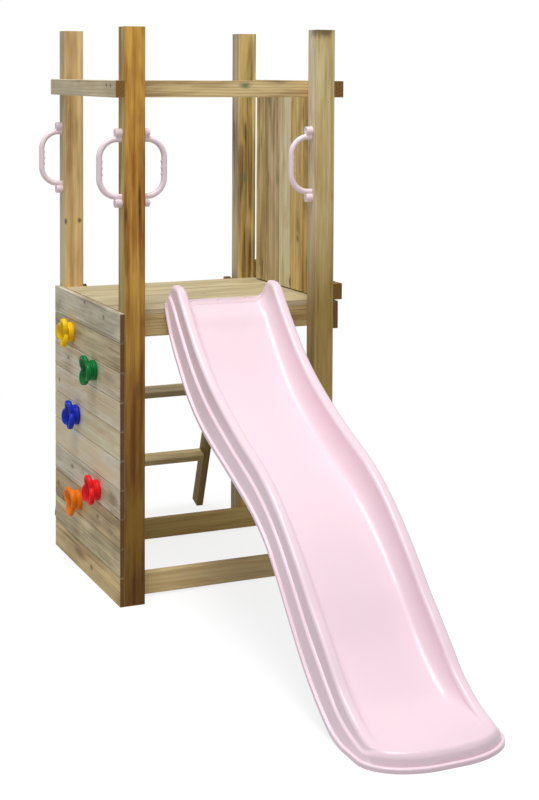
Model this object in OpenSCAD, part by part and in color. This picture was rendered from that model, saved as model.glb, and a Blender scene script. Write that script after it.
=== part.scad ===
// Wooden climbing frame: a square tower with a climbing wall, a ladder, grab handles and a wave slide.
// Millimetres, +Z up, the slide runs towards -Y and the climbing wall faces -X.

/* [Tower] */
// Outside width of the tower across the front
tower_w = 700; // [560:5:1000]
// Outside depth of the tower from front to back
tower_d = 700; // [560:5:1000]
// Side of the square posts
post_w = 65; // [50:1:90]
// Height of the posts
post_h = 1765; // [1500:5:2200]
// Rounding of the long edges of the posts
post_round = 4; // [1:0.5:8]
// Height of the top of the deck
deck_top = 900; // [700:10:1200]

/* [Boards] */
// Number of boards in the climbing wall
wall_count = 10; // [6:1:14]
// Thickness of the wall and panel boards
board_t = 16; // [12:1:24]
// Gap between two wall boards
wall_gap = 1.5; // [0.5:0.5:6]
// Rounding of the long edges of boards and rails
board_round = 2; // [0.5:0.5:4]
// Number of deck boards
deck_count = 6; // [4:1:9]
// Thickness of the deck boards
deck_t = 18; // [14:1:30]
// Gap between two deck boards
deck_gap = 6; // [2:1:12]
// Number of upright boards in the side panel
panel_count = 5; // [3:1:7]
// Gap between a post and the first panel board
panel_end = 44; // [10:1:80]
// Gap between two panel boards
panel_gap = 8; // [3:1:15]
// Gap under the panel boards and the panel rail
panel_lift = 4; // [2:1:12]
// Height of the panel rail's top above the tops of the panel boards
panel_drop = 13; // [0:1:30]

/* [Rails and beams] */
// Thickness of the hand rails
rail_t = 30; // [20:1:45]
// Height of the hand rails
rail_h = 52; // [40:1:80]
// Drop of the upper rails below the tops of the posts
rail_drop = 162; // [60:1:300]
// Thickness of the deck beams and bottom rails
beam_t = 28; // [20:1:45]
// Height of the deck beams and bottom rails
beam_h = 68; // [50:1:100]
// Height of the bottom rails above the ground
beam_lift = 8; // [3:1:40]

/* [Ladder] */
// Lean of the ladder from upright in degrees
ladder_lean = 19.2; // [10:0.2:30]
// Distance of the ladder's feet behind the tower
ladder_out = 263; // [200:1:420]
// Length of a ladder side
ladder_len = 934; // [700:1:1300]
// Thickness of a ladder side
ladder_t = 25; // [20:1:40]
// Depth of the ladder sides and rungs
ladder_d = 51; // [35:1:70]
// Play between a ladder side and its post
ladder_gap = 4; // [1:0.5:12]
// Number of rungs
rung_count = 3; // [2:1:4]
// Thickness of a rung
rung_t = 23; // [18:1:40]
// Length of ladder side below the top of the first rung
rung_first = 221; // [150:1:300]
// Spacing of the rungs along the ladder
rung_pitch = 286; // [200:1:320]

/* [Slide] */
// Overall width of the slide over its bottom flange
slide_w = 400; // [340:2:480]
// Length of the slide in front of the deck
slide_run = 1433; // [1200:1:2000]
// Length of the slide that lies on the deck
slide_lap = 85; // [60:1:140]
// Thickness of the slide where it lies on the deck
slide_plate_t = 8; // [5:0.5:14]
// Thickness of the slide's skin
slide_skin = 5; // [3:0.5:8]
// Height of the slide's sides above its floor
slide_side_h = 88; // [60:1:120]
// Drop of the skirt under the floor at the top of the slide
skirt_top = 60; // [40:1:75]
// Drop of the skirt under the floor at the middle wave
skirt_mid = 21; // [15:1:35]
// Drop of the skirt under the floor on the way to the exit
skirt_low = 50; // [40:1:60]
// Height of the slide's floor at the exit
lip_h = 44; // [30:1:60]
// Width of the flange along the bottom edge
flange_w = 9; // [5:0.5:14]
// Height of the flange along the bottom edge
flange_h = 12; // [8:0.5:16]
// Width of the ledge halfway up the outside
ledge_w = 8; // [4:0.5:12]
// Width of the rounded rim
rim_w = 33; // [24:1:44]
// Depth of the rounding of the rim
rim_round = 12; // [6:0.5:12]
// Inward lean of the outside walls
slide_taper = 3; // [1:0.5:5]
// Half of the straight front edge of the exit
tip_half = 30; // [15:1:90]
// Length of the rounded corners at the exit
tip_len = 115; // [80:1:150]
// Gap between the slide and the front of the deck
slide_clear = 3; // [1:0.5:6]
// Distances of the floor's wave points from the deck as shares of the run
wave_run_shares = [
    0, 0.031, 0.059, 0.143, 0.227, 0.352, 0.478,
    0.562, 0.645, 0.729, 0.813, 0.855, 0.907
]; // [0:0.001:1]
// Heights of the floor's wave points as shares of the fall from deck to exit
wave_fall_shares = [
    1, 0.963, 0.911, 0.774, 0.673, 0.566, 0.477,
    0.389, 0.270, 0.133, 0.033, 0.010, 0
]; // [0:0.001:1]

/* [Handles] */
// Height of a grab handle over its end pads
handle_h = 240; // [180:1:300]
// Reach of a grab handle from the post
handle_reach = 80; // [60:1:100]
// Thickness of the handle's bar
bar_d = 18; // [14:0.5:26]
// Radius of the handle's bends at the middle of the bar
bar_bend = 57; // [25:1:62]
// Drop of the middle of the handles below the tops of the posts
handle_drop = 427; // [320:1:560]
// Thickness of an end pad
pad_t = 22; // [10:0.5:28]
// Diameter of an end pad
pad_d = 28; // [20:1:34]
// Diameter of a finger bump
bump_d = 12; // [8:0.5:16]
// Rise of a finger bump above the bar
bump_rise = 2.5; // [1:0.5:4]
// Spacing of the finger bumps
bump_pitch = 19.5; // [14:0.5:24]
// Number of finger bumps
bump_count = 3; // [1:1:5]

/* [Climbing holds] */
// Diameter of a hold at the wall
hold_base_d = 66; // [45:1:80]
// Diameter of a hold over its petals
hold_rim_d = 101; // [80:1:130]
// Depth of a hold from the wall
hold_depth = 42; // [34:1:60]
// Depth of the bowl in a hold
hold_bowl = 26; // [14:1:30]
// Number of petals
petal_count = 3; // [2:1:5]
// Diameter of the cut between two petals
petal_cut_d = 60; // [30:1:80]
// Places of the holds from the front of the wall as shares of its length
hold_along_shares = [0.717, 0.362, 0.627, 0.313, 0.597]; // [0.1:0.001:0.9]
// Heights of the holds as shares of the wall's height
hold_up_shares = [0.854, 0.761, 0.562, 0.344, 0.254]; // [0.1:0.001:0.95]
// Turns of the holds in degrees
hold_turns = [90, 30, 110, 0, 60]; // [0:5:120]

/* [Fasteners] */
// Diameter of the bolts in the holds and the ladder
bolt_d = 10; // [6:1:12]
// Diameter of a bolt's head
bolt_head_d = 17; // [12:1:22]
// Height of a bolt's head
bolt_head_h = 6; // [4:0.5:10]
// Length of the ladder bolts inside the posts
bolt_grip = 40; // [25:1:50]
// Outside diameter of a sleeve nut's barrel
nut_d = 14; // [10:0.5:18]
// Diameter of a sleeve nut's flange
nut_flange_d = 24; // [18:1:32]
// Thickness of a sleeve nut's flange
nut_flange_t = 2; // [1:0.5:4]
// Diameter of the screws in the handles and the slide
screw_d = 6; // [4:0.5:8]
// Diameter of a screw's head
screw_head_d = 13; // [9:0.5:16]
// Height of a screw's head
screw_head_h = 4; // [2:0.5:6]
// Length of a handle screw inside a post
screw_grip = 28; // [15:1:31]
// Distance of the outer slide screws from the trough's sides
slide_screw_edge = 54; // [44:1:90]
// Number of the slide's screws
slide_screw_count = 3; // [2:1:4]
// Clearance around a fastener
fit_clear = 0.3; // [0.1:0.05:0.6]

/* [Hidden] */
$fn = 48;
// Overrun of every cut beyond the face it starts from
over = 1;
wood = [0.72, 0.60, 0.38];
wood_grey = [0.70, 0.65, 0.52];
pink = [0.93, 0.80, 0.85];
steel = [0.70, 0.71, 0.72];
hold_colours = [
    [0.95, 0.68, 0.05], [0.06, 0.42, 0.22], [0.15, 0.18, 0.75], [0.82, 0.14, 0.20], [0.95, 0.42, 0.10]
];
hold_names = ["yellow", "green", "blue", "red", "orange"];

// Tower values
wall_pitch = deck_top / wall_count;
wall_board_h = wall_pitch - wall_gap;
deck_len = tower_d - 2 * post_w;
deck_board_w = (deck_len - (deck_count - 1) * deck_gap) / deck_count;
beam_top = deck_top - deck_t;
rail_top = post_h - rail_drop;
panel_start = post_w + panel_end;
panel_w = (tower_d - 2 * panel_start - (panel_count - 1) * panel_gap) / panel_count;
joist_len = deck_len - 2 * beam_t;

// Ladder values
ladder_foot_y = tower_d + ladder_out;
ladder_back = ladder_foot_y + ladder_d * cos(ladder_lean);
ladder_in = post_w + ladder_gap;
rung_start = ladder_in + ladder_t;
rung_len = tower_w - 2 * rung_start;
ladder_bolt_share = 0.965;
ladder_bolt_depth_share = 0.30;
ladder_bolt_along = ladder_len * ladder_bolt_share;
ladder_bolt_depth = ladder_d * ladder_bolt_depth_share;

// Slide values
slide_front = post_w - slide_run;
slide_half = slide_w / 2;
ledge_half = slide_half - flange_w - slide_taper;
rim_half = ledge_half - ledge_w - slide_taper;
trough_half = rim_half - rim_w;
floor_top = deck_top + slide_plate_t;
wave_top = deck_top + slide_plate_t / 2;
ear_start_share = 0.61;
ear_end_share = 0.70;
ear_round_share = 0.35;
entry_dip_share = 0.47;
plate_half_share = 0.78;
fade_start_share = 0.727;
fade_end_share = 0.956;
skirt_rise_shares = [0.10, 0.40];
skirt_fall_shares = [0.53, 0.68];
ledge_up_share = 0.56;
fillet_in_shares = [0.92, 0.85, 0.74];
fillet_up_shares = [0.45, 0.16, 0];
slide_screw_share = 0.55;
slide_screw_y = post_w + slide_lap * slide_screw_share;
slide_screw_pitch = 2 * (trough_half - slide_screw_edge) / (slide_screw_count - 1);
entry_shares = [1, 0.96, 0.80, 0.67, 0.61, 0.60, 0.58, 0.55, 0.50, 0.43, 0.35, 0.25, 0.15, 0.06];
top_shares = [0.008, 0.015, 0.022, 0.031, 0.042, 0.055];
run_steps = 23;
run_start_share = 0.073;
run_end_share = 0.905;
tip_shares = [0.92, 0.70, 0.50, 0.35, 0.245, 0.17, 0.12, 0.08, 0.05, 0.02, 0];

// Handle and hold values
handle_mid = post_h - handle_drop;
pad_show_share = 0.85;
handle_leg = handle_h / 2 - pad_d * pad_show_share - bar_d / 2;
handle_pad = handle_h / 2 - pad_d / 2;
bar_out = handle_reach - bar_d / 2;
hold_foot_shares = [[1, 0], [1, 0.30], [0.86, 0.36], [0.86, 0.44]];
hold_rim_shares = [[0.80, 0.50], [1, 0.66], [1, 0.90], [0.94, 1], [0.82, 0.97]];
hold_bowl_share = 0.28;
petal_reach_share = 1.22;
petal_start_share = 0.36;
nut_barrel_share = 0.80;

// Origin: middle of the whole part on the ground
mid_x = (tower_w + rail_t - handle_reach) / 2;
mid_y = (ladder_back + slide_front) / 2;

// Everything is drawn from the tower's front left corner and moved to the origin
module place() {
    translate([-mid_x, -mid_y, 0])
        children();
}

// Flat outline with rounded corners, from its own corner
module rounded_outline(w, h, r) {
    translate([r, 0])
        square([w - 2 * r, h]);
    translate([0, r])
        square([w, h - 2 * r]);
    for (x = [r, w - r], y = [r, h - r])
        translate([x, y])
            circle(r = r);
}

// Timber along each axis, from its own corner
module timber_up(w, d, h, r) {
    linear_extrude(h)
        rounded_outline(w, d, r);
}

module timber_across(l, d, h, r) {
    translate([l, 0, 0])
        rotate([0, -90, 0])
            linear_extrude(l)
                rounded_outline(h, d, r);
}

module timber_back(w, l, h, r) {
    translate([0, l, 0])
        rotate([90, 0, 0])
            linear_extrude(l)
                rounded_outline(w, h, r);
}

// A round cut or rod that starts on a face and runs along +X or -X
module rod_x(d, l, way) {
    rotate([0, 90 * way, 0])
        cylinder(d = d, h = l);
}

// Places of the handle screws on the posts, as x, y and the way out of the post
function handle_spots() = [
    [0, post_w / 2, -1],
    [post_w, post_w / 2, 1],
    [tower_w - post_w, post_w / 2, -1],
    [0, tower_d - post_w / 2, -1]
];

module handle_holes(spot) {
    for (up = [-1, 1])
        translate([spot[0] + over * spot[2], spot[1], handle_mid + up * handle_pad])
            rod_x(screw_d + 2 * fit_clear, screw_grip + over + fit_clear, -spot[2]);
}

// Ladder frame: origin at the front edge of the feet, z along the ladder side
module ladder_place() {
    translate([0, ladder_foot_y, 0])
        rotate([ladder_lean, 0, 0])
            children();
}

module ladder_bolt_spot(x) {
    ladder_place()
        translate([x, ladder_bolt_depth, ladder_bolt_along])
            children();
}

// Posts
module post(x, y) {
    translate([x, y, 0])
        timber_up(post_w, post_w, post_h, post_round);
}

module post_front_left() {
    color(wood)
        place()
            difference() {
                post(0, 0);
                handle_holes(handle_spots()[0]);
                handle_holes(handle_spots()[1]);
            }
}

module post_front_right() {
    color(wood)
        place()
            difference() {
                post(tower_w - post_w, 0);
                handle_holes(handle_spots()[2]);
            }
}

module post_back_left() {
    color(wood)
        place()
            difference() {
                post(0, tower_d - post_w);
                handle_holes(handle_spots()[3]);
                ladder_bolt_spot(post_w + over)
                    rod_x(bolt_d + 2 * fit_clear, bolt_grip + over + fit_clear, -1);
            }
}

module post_back_right() {
    color(wood)
        place()
            difference() {
                post(tower_w - post_w, tower_d - post_w);
                ladder_bolt_spot(tower_w - post_w - over)
                    rod_x(bolt_d + 2 * fit_clear, bolt_grip + over + fit_clear, 1);
            }
}

// Climbing wall on the outer faces of the left posts
function hold_y(i) = tower_d * hold_along_shares[i];
function hold_z(i) = deck_top * hold_up_shares[i];
function hold_board(i) = floor(hold_z(i) / wall_pitch);

module wall_board(b) {
    color(wood_grey)
        place()
            difference() {
                translate([-board_t, 0, b * wall_pitch])
                    timber_back(board_t, tower_d, wall_board_h, board_round);
                for (i = [0 : len(hold_names) - 1])
                    if (hold_board(i) == b)
                        translate([-board_t - over, hold_y(i), hold_z(i)])
                            rod_x(nut_d + 2 * fit_clear, board_t + 2 * over, 1);
            }
}

// Deck boards across the tower between the front and back posts
module deck_board(b) {
    color(wood)
        place()
            difference() {
                translate([0, post_w + b * (deck_board_w + deck_gap), beam_top])
                    timber_across(tower_w, deck_board_w, deck_t, board_round);
                if (b == 0)
                    slide_screw_spots()
                        translate([0, 0, -over])
                            cylinder(d = screw_d + 2 * fit_clear, h = deck_t + 2 * over);
            }
}

module deck_beam_front() {
    color(wood)
        place()
            translate([0, post_w, beam_top - beam_h])
                timber_across(tower_w, beam_t, beam_h, board_round);
}

module deck_beam_back() {
    color(wood)
        place()
            translate([0, tower_d - post_w - beam_t, beam_top - beam_h])
                timber_across(tower_w, beam_t, beam_h, board_round);
}

module joist(x) {
    color(wood)
        place()
            translate([x, post_w + beam_t, beam_top - beam_h])
                timber_back(beam_t, joist_len, beam_h, board_round);
}

module joist_left() {
    joist(0);
}

module joist_right() {
    joist(tower_w - beam_t);
}

module deck_edge_right() {
    color(wood)
        place()
            translate([tower_w, 0, deck_top - wall_board_h])
                timber_back(board_t, tower_d, wall_board_h, board_round);
}

module bottom_rail_front() {
    color(wood)
        place()
            translate([0, post_w, beam_lift])
                timber_across(tower_w, beam_t, beam_h, board_round);
}

module bottom_rail_back() {
    color(wood)
        place()
            translate([0, tower_d - post_w - beam_t, beam_lift])
                timber_across(tower_w, beam_t, beam_h, board_round);
}

// Hand rails and the upright panel boards
module top_rail_left() {
    color(wood)
        place()
            translate([-rail_t, 0, rail_top - rail_h])
                timber_back(rail_t, tower_d, rail_h, board_round);
}

module top_rail_right() {
    color(wood)
        place()
            translate([tower_w, 0, rail_top - rail_h])
                timber_back(rail_t, tower_d, rail_h, board_round);
}

module top_rail_front() {
    color(wood)
        place()
            translate([0, post_w, rail_top - rail_h])
                timber_across(tower_w, rail_t, rail_h, board_round);
}

module panel_rail_right() {
    color(wood)
        place()
            translate([tower_w, 0, deck_top + panel_lift])
                timber_back(rail_t, tower_d, rail_h, board_round);
}

module panel_board(b) {
    color(wood)
        place()
            translate([tower_w - board_t, panel_start + b * (panel_w + panel_gap), deck_top + panel_lift])
                timber_up(board_t, panel_w, rail_top - panel_drop - deck_top - panel_lift, board_round);
}

// Ladder between the back posts
module ladder_side(x) {
    translate([x, 0, 0])
        timber_up(ladder_t, ladder_d, ladder_len, board_round);
}

module ladder_side_left() {
    color(wood)
        place()
            difference() {
                ladder_place()
                    ladder_side(ladder_in);
                ladder_bolt_spot(ladder_in - over)
                    rod_x(bolt_d + 2 * fit_clear, ladder_t + 2 * over, 1);
            }
}

module ladder_side_right() {
    color(wood)
        place()
            difference() {
                ladder_place()
                    ladder_side(tower_w - rung_start);
                ladder_bolt_spot(tower_w - ladder_in + over)
                    rod_x(bolt_d + 2 * fit_clear, ladder_t + 2 * over, -1);
            }
}

module rung(i) {
    color(wood)
        place()
            ladder_place()
                translate([rung_start, 0, rung_first + i * rung_pitch - rung_t])
                    timber_across(rung_len, ladder_d, rung_t, board_round);
}

module ladder_bolts() {
    color(steel)
        place() {
            ladder_bolt_spot(rung_start)
                bolt(ladder_t + ladder_gap + bolt_grip, -1);
            ladder_bolt_spot(tower_w - rung_start)
                bolt(ladder_t + ladder_gap + bolt_grip, 1);
        }
}

// Bolt along X: the shank runs along way, the head stands behind the start
module bolt(l, way) {
    rod_x(bolt_d, l, way);
    rod_x(bolt_head_d, bolt_head_h, -way);
}

// Share of the way from a to b, and a smooth step from 0 to 1
function part_way(t, a, b) = min(1, max(0, (t - a) / (b - a)));
function round_out(t) = sqrt(1 - pow(1 - t, 2));
function ease(t) = let (c = min(1, max(0, t))) c * c * (3 - 2 * c);

// Smooth curve through points given by two lists
function segment(xs, x, i = 0) = (i >= len(xs) - 2 || x < xs[i + 1]) ? i : segment(xs, x, i + 1);
function chord(xs, ys, i, j) = (ys[j] - ys[i]) / (xs[j] - xs[i]);
function lean_at(xs, ys, i) = chord(xs, ys, max(0, i - 1), min(len(xs) - 1, i + 1));
function curve(xs, ys, x) =
    x <= xs[0] ? ys[0] :
    x >= xs[len(xs) - 1] ? ys[len(ys) - 1] :
    let (
        i = segment(xs, x),
        w = xs[i + 1] - xs[i],
        t = (x - xs[i]) / w,
        a = lean_at(xs, ys, i) * w,
        b = lean_at(xs, ys, i + 1) * w
    )
    ys[i] * (2 * t * t * t - 3 * t * t + 1) + a * (t * t * t - 2 * t * t + t)
        + ys[i + 1] * (3 * t * t - 2 * t * t * t) + b * (t * t * t - t * t);

// Wave slide: heights at the distance d in front of the deck
function on_deck(d) = d < slide_clear;
function floor_z(d) = on_deck(d)
    ? floor_top - (floor_top - wave_top) * ease((d / slide_lap + entry_dip_share) / entry_dip_share)
    : lip_h + (wave_top - lip_h) * curve(wave_run_shares, wave_fall_shares, d / slide_run);
function side_share(d) = 1 - pow(1 - part_way(d / slide_lap, -ear_start_share, ear_end_share), 2);
function rim_share(d) = side_share(d)
    * (1 - ease((d / slide_run - fade_start_share) / (fade_end_share - fade_start_share)));
function rim_z(d) = floor_z(d) + slide_side_h * rim_share(d);
function between(d, shares) = ease((d / slide_run - shares[0]) / (shares[1] - shares[0]));
function skirt(d) = skirt_top
    + (skirt_mid - skirt_top) * between(d, skirt_rise_shares)
    + (skirt_low - skirt_mid) * between(d, skirt_fall_shares);
function foot_z(d) = on_deck(d) ? deck_top : max(0, floor_z(d) - skirt(d));

// Plan width with rounded ends, and height limit near the exit, tip_e is the distance from the tip
function tip_e(d) = slide_run - d;
function entry_half(d) = slide_half * (plate_half_share
    + (1 - plate_half_share) * round_out(part_way(d / slide_lap, -ear_start_share, -ear_round_share)));
function plan_half(d) = on_deck(d) ? entry_half(d)
    : tip_half + (slide_half - tip_half) * round_out(part_way(tip_e(d), 0, tip_len));
function tip_limit(d) = tip_e(d) >= 3 * flange_w ? lip_h + slide_side_h
    : tip_e(d) <= flange_w ? flange_h
    : flange_h + (lip_h - flange_h) * round_out((tip_e(d) - flange_w) / (2 * flange_w));

// Half section of the skin's top side, from the foot to the middle: half width and height
function skin_top(d) =
    let (
        f = floor_z(d),
        r = rim_z(d),
        b = foot_z(d),
        h = r - b,
        fl = min(flange_h, h),
        k = min(1, max(0, (h - fl) / (3 * rim_round))),
        q = min(1, (r - f) / (2 * rim_round)) * rim_round,
        n = k * rim_round,
        m = plan_half(d) / slide_half,
        ledge = max(fl, h * ledge_up_share),
        top = tip_limit(d)
    )
    [for (p = [
        [slide_half, 0],
        [slide_half, fl],
        [slide_half - flange_w, fl],
        [ledge_half, ledge],
        [ledge_half - ledge_w, max(fl, min(h - n, ledge + ledge_w / 2 * k))],
        [rim_half, h - n],
        [rim_half - rim_round / 3, h - n / 4],
        [rim_half - rim_round, h],
        [trough_half + rim_round, h],
        [trough_half + rim_round / 3, h - q / 4],
        [trough_half, h - q],
        for (i = [0 : len(fillet_in_shares) - 1])
            [trough_half * fillet_in_shares[i], f - b + (r - f) * fillet_up_shares[i]],
        [0, f - b]
    ]) [p[0] * m, b + min(p[1], top)]];

// Shift of each point of the top side to the under side, as shares of the skin
under_shift = [
    [-0.6, 0], [-1, 1], [-1, 1], [-1, 0.4], [-1, 1], [-1, 0.2], [-0.8, 0.8], [0, 1],
    [0, 1], [0.8, 0.8], [1, 0.2], [1, 0.3], [0.8, 0.6], [0.2, 1], [0, 1]
];
function skin_under(d) =
    let (
        p = skin_top(d),
        b = foot_z(d),
        m = plan_half(d) / slide_half,
        level = 1 - min(1, (rim_z(d) - floor_z(d)) / (4 * rim_round)),
        solid = on_deck(d) || tip_e(d) < slide_skin
    )
    [for (i = [0 : len(p) - 1]) [
        p[i][0] + under_shift[i][0] * slide_skin * m,
        solid || i == 0 ? b
            : max(b, p[i][1] - slide_skin * max(under_shift[i][1], level))
    ]];

// Closed ring of points at one station
function ring(d) =
    let (
        t = skin_top(d),
        u = skin_under(d),
        n = len(t)
    )
    concat(
        [for (i = [0 : n - 1]) [-t[i][0], post_w - d, t[i][1]]],
        [for (i = [n - 2 : -1 : 0]) [t[i][0], post_w - d, t[i][1]]],
        [for (i = [0 : n - 1]) [u[i][0], post_w - d, u[i][1]]],
        [for (i = [n - 2 : -1 : 0]) [-u[i][0], post_w - d, u[i][1]]]
    );

function stations() = concat(
    [for (s = entry_shares) -s * slide_lap],
    [slide_clear * 2 / 3, slide_clear],
    [for (s = top_shares) s * slide_run],
    [for (i = [0 : run_steps])
        slide_run * (run_start_share + (run_end_share - run_start_share) * i / run_steps)],
    [for (s = tip_shares) slide_run - s * tip_len]
);

// Two triangles of an end face between the points a and b on the two sides of the skin
function end_pair(a, b, n, start) = a < n / 4
    ? [[start + a, start + a + 1, start + b], [start + a + 1, start + b - 1, start + b]]
    : [[start + a, start + a + 1, start + b - 1], [start + a, start + b - 1, start + b]];
function turned(faces) = [for (f = faces) [f[2], f[1], f[0]]];

module slide_body() {
    rings = [for (d = stations()) ring(d)];
    n = len(rings[0]);
    count = len(rings);
    polyhedron(
        points = [for (r = rings) each r],
        faces = concat(
            [for (i = [0 : n / 2 - 2]) each end_pair(i, n - 1 - i, n, 0)],
            [for (s = [0 : count - 2], i = [0 : n - 1]) each let (
                a = s * n + i,
                b = s * n + (i + 1) % n
            ) [[a, a + n, b], [b, a + n, b + n]]],
            [for (i = [0 : n / 2 - 2]) each turned(end_pair(i, n - 1 - i, n, (count - 1) * n))]
        )
    );
}

module slide_screw_spots() {
    for (i = [0 : slide_screw_count - 1])
        translate([
            tower_w / 2 + (i - (slide_screw_count - 1) / 2) * slide_screw_pitch,
            slide_screw_y,
            beam_top
        ])
            children();
}

module slide() {
    color(pink)
        place()
            difference() {
                translate([tower_w / 2, 0, 0])
                    slide_body();
                slide_screw_spots()
                    cylinder(d = screw_d + 2 * fit_clear, h = deck_t + slide_plate_t + over);
            }
}

module slide_screws() {
    color(steel)
        place()
            slide_screw_spots() {
                cylinder(d = screw_d, h = deck_t + slide_plate_t);
                translate([0, 0, deck_t + slide_plate_t])
                    cylinder(d = screw_head_d, h = screw_head_h / 2);
            }
}

// Grab handle standing out along +X from a post face at x = 0
module bar_quarter() {
    rotate([90, 0, 0])
        rotate_extrude(angle = 90)
            translate([bar_bend, 0])
                circle(d = bar_d);
}

module handle_half() {
    translate([0, 0, handle_leg])
        rotate([0, 90, 0])
            cylinder(d = bar_d, h = bar_out - bar_bend);
    translate([bar_out - bar_bend, 0, handle_leg - bar_bend])
        bar_quarter();
    translate([bar_out, 0, 0])
        cylinder(d = bar_d, h = handle_leg - bar_bend);
    translate([0, 0, handle_pad])
        rotate([0, 90, 0])
            cylinder(d = pad_d, h = pad_t);
    translate([0, -bar_d / 2, handle_leg])
        cube([pad_t / 2, bar_d, handle_pad - handle_leg]);
}

module handle_body() {
    difference() {
        union() {
            handle_half();
            mirror([0, 0, 1])
                handle_half();
            for (i = [0 : bump_count - 1])
                translate([
                    bar_out - bar_d / 2 - bump_rise + bump_d / 2,
                    0,
                    (i - (bump_count - 1) / 2) * bump_pitch
                ])
                    sphere(d = bump_d);
        }
        for (up = [-1, 1])
            translate([-over, 0, up * handle_pad]) {
                rod_x(screw_d + 2 * fit_clear, pad_t + 2 * over, 1);
                translate([over + pad_t - screw_head_h - fit_clear, 0, 0])
                    rod_x(screw_head_d + 2 * fit_clear, screw_head_h + 2 * over, 1);
            }
    }
}

module handle(spot) {
    color(pink)
        place()
            translate([spot[0], spot[1], handle_mid])
                mirror([spot[2] < 0 ? 1 : 0, 0, 0])
                    handle_body();
}

module handle_front_outer() {
    handle(handle_spots()[0]);
}

module handle_front_inner() {
    handle(handle_spots()[1]);
}

module handle_right_inner() {
    handle(handle_spots()[2]);
}

module handle_back_outer() {
    handle(handle_spots()[3]);
}

module handle_screws() {
    color(steel)
        place()
            for (spot = handle_spots(), up = [-1, 1])
                translate([
                    spot[0] + spot[2] * (pad_t - screw_head_h - fit_clear),
                    spot[1],
                    handle_mid + up * handle_pad
                ]) {
                    rod_x(screw_d, screw_grip + pad_t - screw_head_h - fit_clear, -spot[2]);
                    rod_x(screw_head_d, screw_head_h, spot[2]);
                }
}

// Climbing hold: a flared bowl with cut petals, standing out along +Z from z = 0
module hold_body() {
    bowl_floor = hold_depth - hold_bowl;
    rim = hold_rim_d / 2;
    difference() {
        rotate_extrude()
            polygon(concat(
                [[0, 0]],
                [for (p = hold_foot_shares) [p[0] * hold_base_d / 2, p[1] * hold_depth]],
                [for (p = hold_rim_shares) [p[0] * rim, p[1] * hold_depth]],
                [[rim * hold_bowl_share, bowl_floor], [0, bowl_floor]]
            ));
        for (i = [0 : petal_count - 1])
            rotate([0, 0, (i + 0.5) * 360 / petal_count])
                translate([rim * petal_reach_share, 0, hold_depth * petal_start_share])
                    cylinder(d = petal_cut_d, h = hold_depth);
        translate([0, 0, -over])
            cylinder(d = bolt_d + 2 * fit_clear, h = hold_depth);
    }
}

module hold(i) {
    color(hold_colours[i])
        place()
            translate([-board_t, hold_y(i), hold_z(i)])
                rotate([0, -90, 0])
                    rotate([0, 0, hold_turns[i]])
                        hold_body();
}

module hold_bolts() {
    color(steel)
        place()
            for (i = [0 : len(hold_names) - 1])
                translate([-board_t - hold_depth + hold_bowl, hold_y(i), hold_z(i)])
                    bolt(board_t + hold_depth - hold_bowl, 1);
}

module hold_nuts() {
    color(steel)
        place()
            for (i = [0 : len(hold_names) - 1])
                translate([0, hold_y(i), hold_z(i)])
                    difference() {
                        union() {
                            rod_x(nut_flange_d, nut_flange_t, 1);
                            rod_x(nut_d, board_t * nut_barrel_share, -1);
                        }
                        translate([-board_t, 0, 0])
                            rod_x(bolt_d + 2 * fit_clear, board_t + nut_flange_t + over, 1);
                    }
}

post_front_left();
post_front_right();
post_back_left();
post_back_right();
for (b = [0 : wall_count - 1])
    wall_board(b);
for (b = [0 : deck_count - 1])
    deck_board(b);
for (b = [0 : panel_count - 1])
    panel_board(b);
deck_beam_front();
deck_beam_back();
joist_left();
joist_right();
deck_edge_right();
bottom_rail_front();
bottom_rail_back();
top_rail_left();
top_rail_right();
top_rail_front();
panel_rail_right();
ladder_side_left();
ladder_side_right();
for (i = [0 : rung_count - 1])
    rung(i);
ladder_bolts();
slide();
slide_screws();
handle_front_outer();
handle_front_inner();
handle_right_inner();
handle_back_outer();
handle_screws();
for (i = [0 : len(hold_names) - 1])
    hold(i);
hold_bolts();
hold_nuts();
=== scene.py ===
import math
import random

import bmesh
import bpy
from mathutils import Matrix, Vector

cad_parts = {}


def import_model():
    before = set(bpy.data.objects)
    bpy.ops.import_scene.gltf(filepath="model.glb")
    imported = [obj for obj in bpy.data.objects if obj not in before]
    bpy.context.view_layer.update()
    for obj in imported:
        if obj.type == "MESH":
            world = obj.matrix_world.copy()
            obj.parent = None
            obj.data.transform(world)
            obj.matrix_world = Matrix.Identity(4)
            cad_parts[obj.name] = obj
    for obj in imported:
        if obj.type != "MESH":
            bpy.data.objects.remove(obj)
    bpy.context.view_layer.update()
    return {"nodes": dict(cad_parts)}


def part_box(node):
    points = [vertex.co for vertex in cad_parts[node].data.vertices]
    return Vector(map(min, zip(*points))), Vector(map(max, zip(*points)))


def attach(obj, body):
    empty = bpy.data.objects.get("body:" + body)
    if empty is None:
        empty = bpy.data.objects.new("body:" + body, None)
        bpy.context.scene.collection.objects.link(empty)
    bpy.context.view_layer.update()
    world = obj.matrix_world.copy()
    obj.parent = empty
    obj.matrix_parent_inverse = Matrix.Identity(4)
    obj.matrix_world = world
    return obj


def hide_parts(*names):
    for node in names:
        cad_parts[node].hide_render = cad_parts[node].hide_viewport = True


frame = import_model()
nodes = frame["nodes"]

# Sizes in metres. Places are measured from the tower's front left corner on the ground.
TOWER = 0.700
POST = 0.065
DECK = 0.900
BOARD = 0.016
RUN = 1.433
LADDER_FOOT, LADDER_SIDE, LEAN = 0.963, 0.051, math.radians(19.2)
LEFT_END, RIGHT_END = -0.080, 0.730
FRONT_END, BACK_END = POST - RUN, LADDER_FOOT + LADDER_SIDE * math.cos(LEAN)
# Middle of the part in plan, which is the origin of the shared frame
MID = Vector(((LEFT_END + RIGHT_END) / 2, (FRONT_END + BACK_END) / 2, 0.0))

WHITE, BLACK = (1.0, 1.0, 1.0, 1.0), (0.0, 0.0, 0.0, 1.0)
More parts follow.
